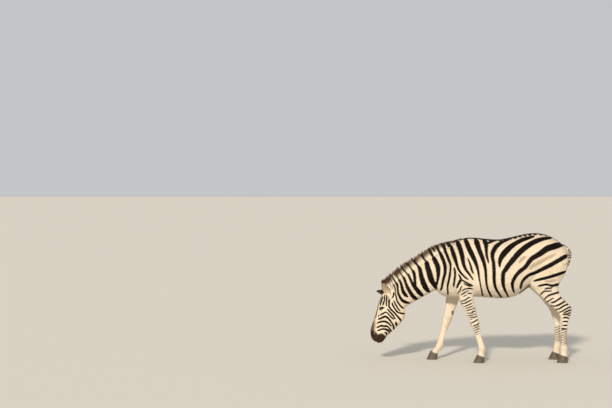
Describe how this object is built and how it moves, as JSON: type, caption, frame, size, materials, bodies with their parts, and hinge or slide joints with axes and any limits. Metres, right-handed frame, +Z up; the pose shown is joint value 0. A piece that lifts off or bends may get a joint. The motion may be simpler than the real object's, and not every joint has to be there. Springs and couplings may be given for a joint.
{
  "type": "plains zebra",
  "caption": "Life-size still model of a striped plains zebra walking with its head lowered to graze.",
  "frame": {"origin": "on the ground, under the middle of the model's box", "axes": "+Z up, the head at -X, the animal's left side towards -Y"},
  "size_m": [2.1256, 0.5418, 1.35],
  "materials": {
    "coat": "short flat hair, striped dark on cream",
    "long_hair": "coarse upright hair, dark with brown tips",
    "horn": "ringed horn, dull",
    "eye": "wet dark brown"
  },
  "bodies": {
    "root": {"trunk": "coat", "neck": "coat", "head": "coat", "ear_left": "coat", "ear_right": "coat", "foreleg_left": "coat", "foreleg_right": "coat", "hindleg_left": "coat", "hindleg_right": "coat", "tail": "coat", "mane": "long_hair", "tail_tuft": "long_hair", "hoof_fore_left": "horn", "hoof_fore_right": "horn", "hoof_hind_left": "horn", "hoof_hind_right": "horn", "eye_left": "eye", "eye_right": "eye"}
  },
  "joints": []
}
